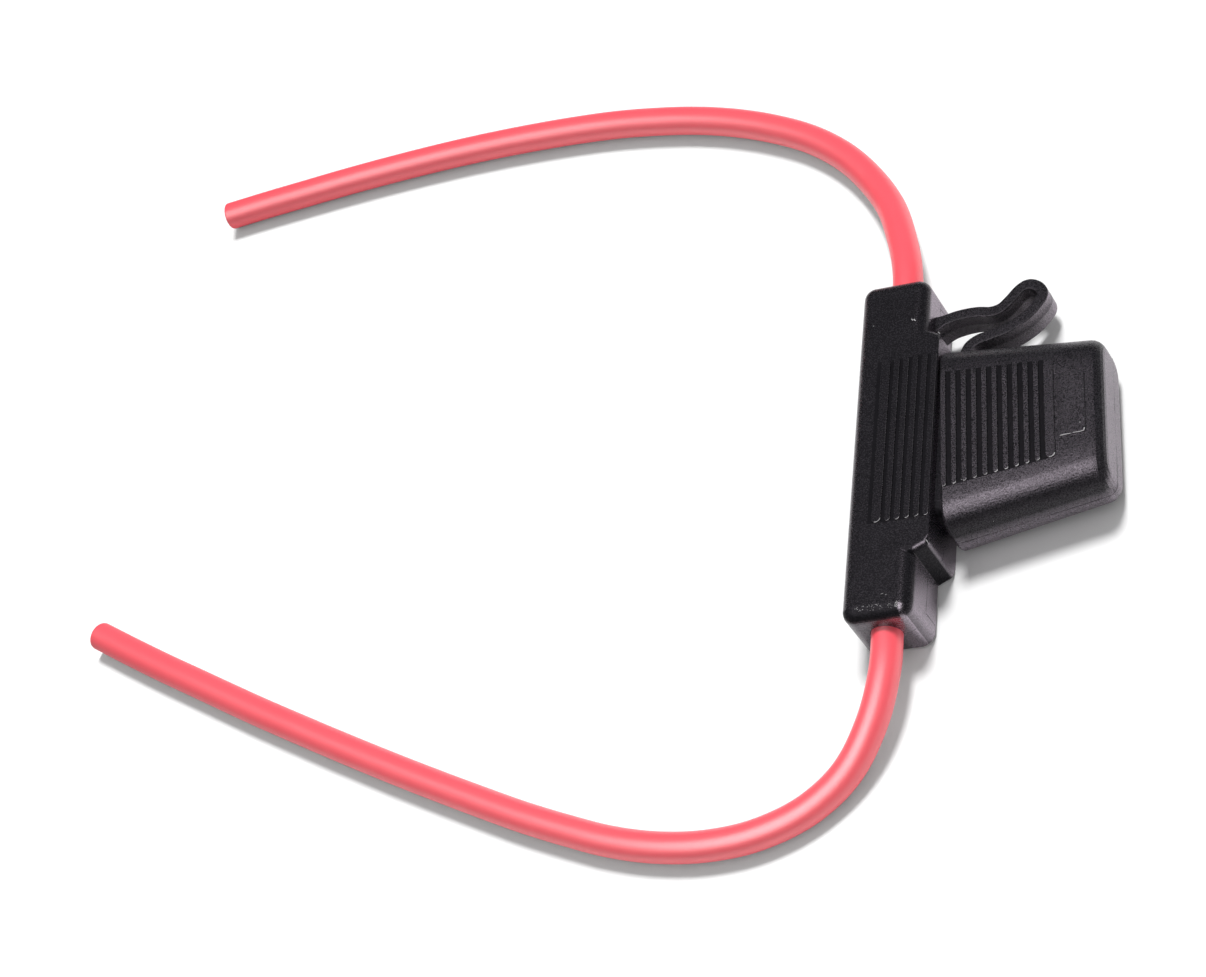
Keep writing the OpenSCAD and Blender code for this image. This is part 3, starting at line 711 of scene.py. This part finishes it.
def metal(name, dark, light, rough, scale, stretch):
    """Plated or drawn metal with faint lines along one direction."""
    material, nodes, links, shader = new_material(name)
    coords = nodes.new("ShaderNodeTexCoord").outputs["Object"]
    mapping = nodes.new("ShaderNodeMapping")
    mapping.inputs["Scale"].default_value = stretch
    links.new(coords, mapping.inputs["Vector"])
    lines = noise(nodes, links, mapping.outputs["Vector"], scale, 3)
    cloud = noise(nodes, links, coords, 300, 2)
    links.new(colour_mix(nodes, links, cloud, dark, light), shader.inputs["Base Color"])
    links.new(ramp(nodes, links, lines, 0.3, 0.7, rough - 0.06, rough + 0.08), shader.inputs["Roughness"])
    shader.inputs["Metallic"].default_value = 1.0
    bump = nodes.new("ShaderNodeBump")
    bump.inputs["Distance"].default_value = 0.00002
    bump.inputs["Strength"].default_value = 0.3
    links.new(lines, bump.inputs["Height"])
    links.new(bump.outputs["Normal"], shader.inputs["Normal"])
    return material


def fuse_plastic():
    material, nodes, links, shader = new_material("fuse_plastic")
    coords = nodes.new("ShaderNodeTexCoord").outputs["Object"]
    cloud = noise(nodes, links, coords, 120, 2)
    links.new(colour_mix(nodes, links, cloud, (0.07, 0.2, 0.62, 1), (0.12, 0.3, 0.75, 1)),
              shader.inputs["Base Color"])
    links.new(ramp(nodes, links, cloud, 0.3, 0.7, 0.14, 0.22), shader.inputs["Roughness"])
    shader.inputs["Transmission Weight"].default_value = 0.55
    shader.inputs["IOR"].default_value = 1.5
    bevel = nodes.new("ShaderNodeBevel")
    bevel.samples = 4
    bevel.inputs["Radius"].default_value = 0.0002
    links.new(bevel.outputs["Normal"], shader.inputs["Normal"])
    return material


def thin_line(name, colour, rough):
    material, nodes, links, shader = new_material(name)
    coords = nodes.new("ShaderNodeTexCoord").outputs["Object"]
    cloud = noise(nodes, links, coords, 900, 2)
    dim = tuple(c * 0.6 for c in colour[:3]) + (1,)
    links.new(colour_mix(nodes, links, cloud, dim, colour), shader.inputs["Base Color"])
    shader.inputs["Roughness"].default_value = rough
    shader.inputs["Specular IOR Level"].default_value = 0.2
    return material


def floor_paper():
    material, nodes, links, shader = new_material("white_paper")
    coords = nodes.new("ShaderNodeTexCoord").outputs["Object"]
    cloud = noise(nodes, links, coords, 40, 2)
    paper = colour_mix(nodes, links, cloud, (0.88, 0.88, 0.88, 1), (0.9, 0.9, 0.9, 1))
    path = nodes.new("ShaderNodeLightPath")
    # Painted shade in reflections: seen by glossy rays, the floor fades to nearly black from 0.09 m to 0.25 m
    # from the origin, so the plastic reflects dark surroundings
    reach = nodes.new("ShaderNodeVectorMath")
    reach.operation = "LENGTH"
    links.new(coords, reach.inputs[0])
    far = ramp(nodes, links, reach.outputs["Value"], 0.09, 0.25, 0, 0.95)
    far = math_node(nodes, links, "MULTIPLY", far, path.outputs["Is Glossy Ray"])
    links.new(colour_mix(nodes, links, far, paper, (0, 0, 0, 1)), shader.inputs["Base Color"])
    shader.inputs["Roughness"].default_value = 0.9
    shader.inputs["Specular IOR Level"].default_value = 0
    shown = math_node(nodes, links, "MAXIMUM", path.outputs["Is Camera Ray"], path.outputs["Is Glossy Ray"])
    links.new(ramp(nodes, links, shown, 0, 1, 0, 0.02), shader.inputs["Emission Strength"])
    shader.inputs["Emission Color"].default_value = (1, 1, 1, 1)
    return material


body_plastic = plastic("body_plastic", 0.45, 3400, (0, (0, 0), -2.6, SHOULDER_X - 0.1, 0.6, 19.7, 0, BAR_T, 0))
cap_plastic = plastic("cap_plastic", 0.75, 3600,
                      (CAP_SKEW, (CAP_X, CAP_SHIFT), 0.2, 23.5, 0.7, 14.1, 0.094, BAR_T, CAP_SLOPE_Z),
                      (CAP_W / 2, CAP_SLOPE_Y, 9, 0.028))
strap_plastic = plastic("strap_plastic", 0.7, 3800)
red = insulation()
copper = metal("copper", (0.72, 0.33, 0.19, 1), (0.85, 0.46, 0.29, 1), 0.3, 900, (1, 1, 1))
brass = metal("terminal_brass", (0.70, 0.55, 0.26, 1), (0.82, 0.67, 0.36, 1), 0.3, 500, (0.1, 1, 1))
zinc = metal("fuse_metal", (0.60, 0.60, 0.61, 1), (0.72, 0.72, 0.73, 1), 0.28, 500, (0.1, 1, 1))
blue = fuse_plastic()
seam_dark = thin_line("seam_shadow", (0.004, 0.004, 0.005, 1), 0.7)
seam_light = thin_line("seam_flash", (0.05, 0.05, 0.053, 1), 0.5)
# Painted highlight colours for the edge lines and the glints
painted_edge_highlight = thin_line("painted_edge_highlight", (0.06, 0.058, 0.062, 1), 0.5)
painted_glint = thin_line("painted_glint", (0.5, 0.49, 0.5, 1), 0.4)

for node, material in (
    ("holder_body", body_plastic), ("cap", cap_plastic), ("tether_strap", strap_plastic),
    ("fuse_housing", blue), ("fuse_element", zinc), ("upper_terminal", brass), ("lower_terminal", brass),
    ("upper_conductor", copper), ("lower_conductor", copper), ("upper_lead", red), ("lower_lead", red),
):
    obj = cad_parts[node]
    obj.data.materials.clear()
    obj.data.materials.append(material)
for obj, material in (
    [(sheath, red) for sheath in leads.values()] + [(end, copper) for end in copper_ends]
    + [(strap, strap_plastic)] + [(s, seam_dark) for s in seams] + [(m, seam_light) for m in marks]
    + [(w, painted_edge_highlight) for w in edge_highlight_ribbons] + [(g, painted_glint) for g in glints]
):
    obj.data.materials.append(material)

# Floor, light and backdrop
floor = mesh_object("floor", [(-4000, -4000, 0), (4000, -4000, 0), (4000, 4000, 0), (-4000, 4000, 0)],
                    [(0, 1, 2, 3)], smooth=False)
floor.data.materials.append(floor_paper())
floor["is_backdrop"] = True

world = bpy.data.worlds.new("studio")
bpy.context.scene.world = world
world.use_nodes = True
w_nodes, w_links = world.node_tree.nodes, world.node_tree.links
w_back = w_nodes["Background"]
w_path = w_nodes.new("ShaderNodeLightPath")
level = ramp(w_nodes, w_links, w_path.outputs["Is Glossy Ray"], 0, 1, 0.44, 0.02)
level = math_node(w_nodes, w_links, "MAXIMUM", level, w_path.outputs["Is Camera Ray"])
w_links.new(level, w_back.inputs["Strength"])
w_back.inputs["Color"].default_value = (1, 1, 1, 1)

sun_data = bpy.data.lights.new("key", "SUN")
sun_data.energy = 3.0
sun_data.angle = math.radians(15)
sun = link(bpy.data.objects.new("key", sun_data))
sun.rotation_euler = Vector((-0.07, -0.5, -1)).to_track_quat("-Z", "Y").to_euler()
sun.visible_glossy = False

# An overhead softbox that only shows in reflections
box_data = bpy.data.lights.new("softbox", "AREA")
box_data.shape = "RECTANGLE"
box_data.size = 1.0
box_data.size_y = 1.15
box_data.energy = 5.5 * math.pi * box_data.size * box_data.size_y
softbox = link(bpy.data.objects.new("softbox", box_data))
softbox.location = (-0.18, -0.425, 1.0)
softbox.visible_diffuse = False
softbox.visible_camera = False

bpy.context.scene.view_settings.view_transform = "Standard"

size_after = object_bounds()


def plain(value):
    if isinstance(value, dict):
        return {k: plain(v) for k, v in value.items()}
    if isinstance(value, (list, tuple, Vector)) or hasattr(value, "tolist"):
        return [plain(v) for v in value]
    return float(value)


{"before": plain(size_before), "after": plain(size_after)}
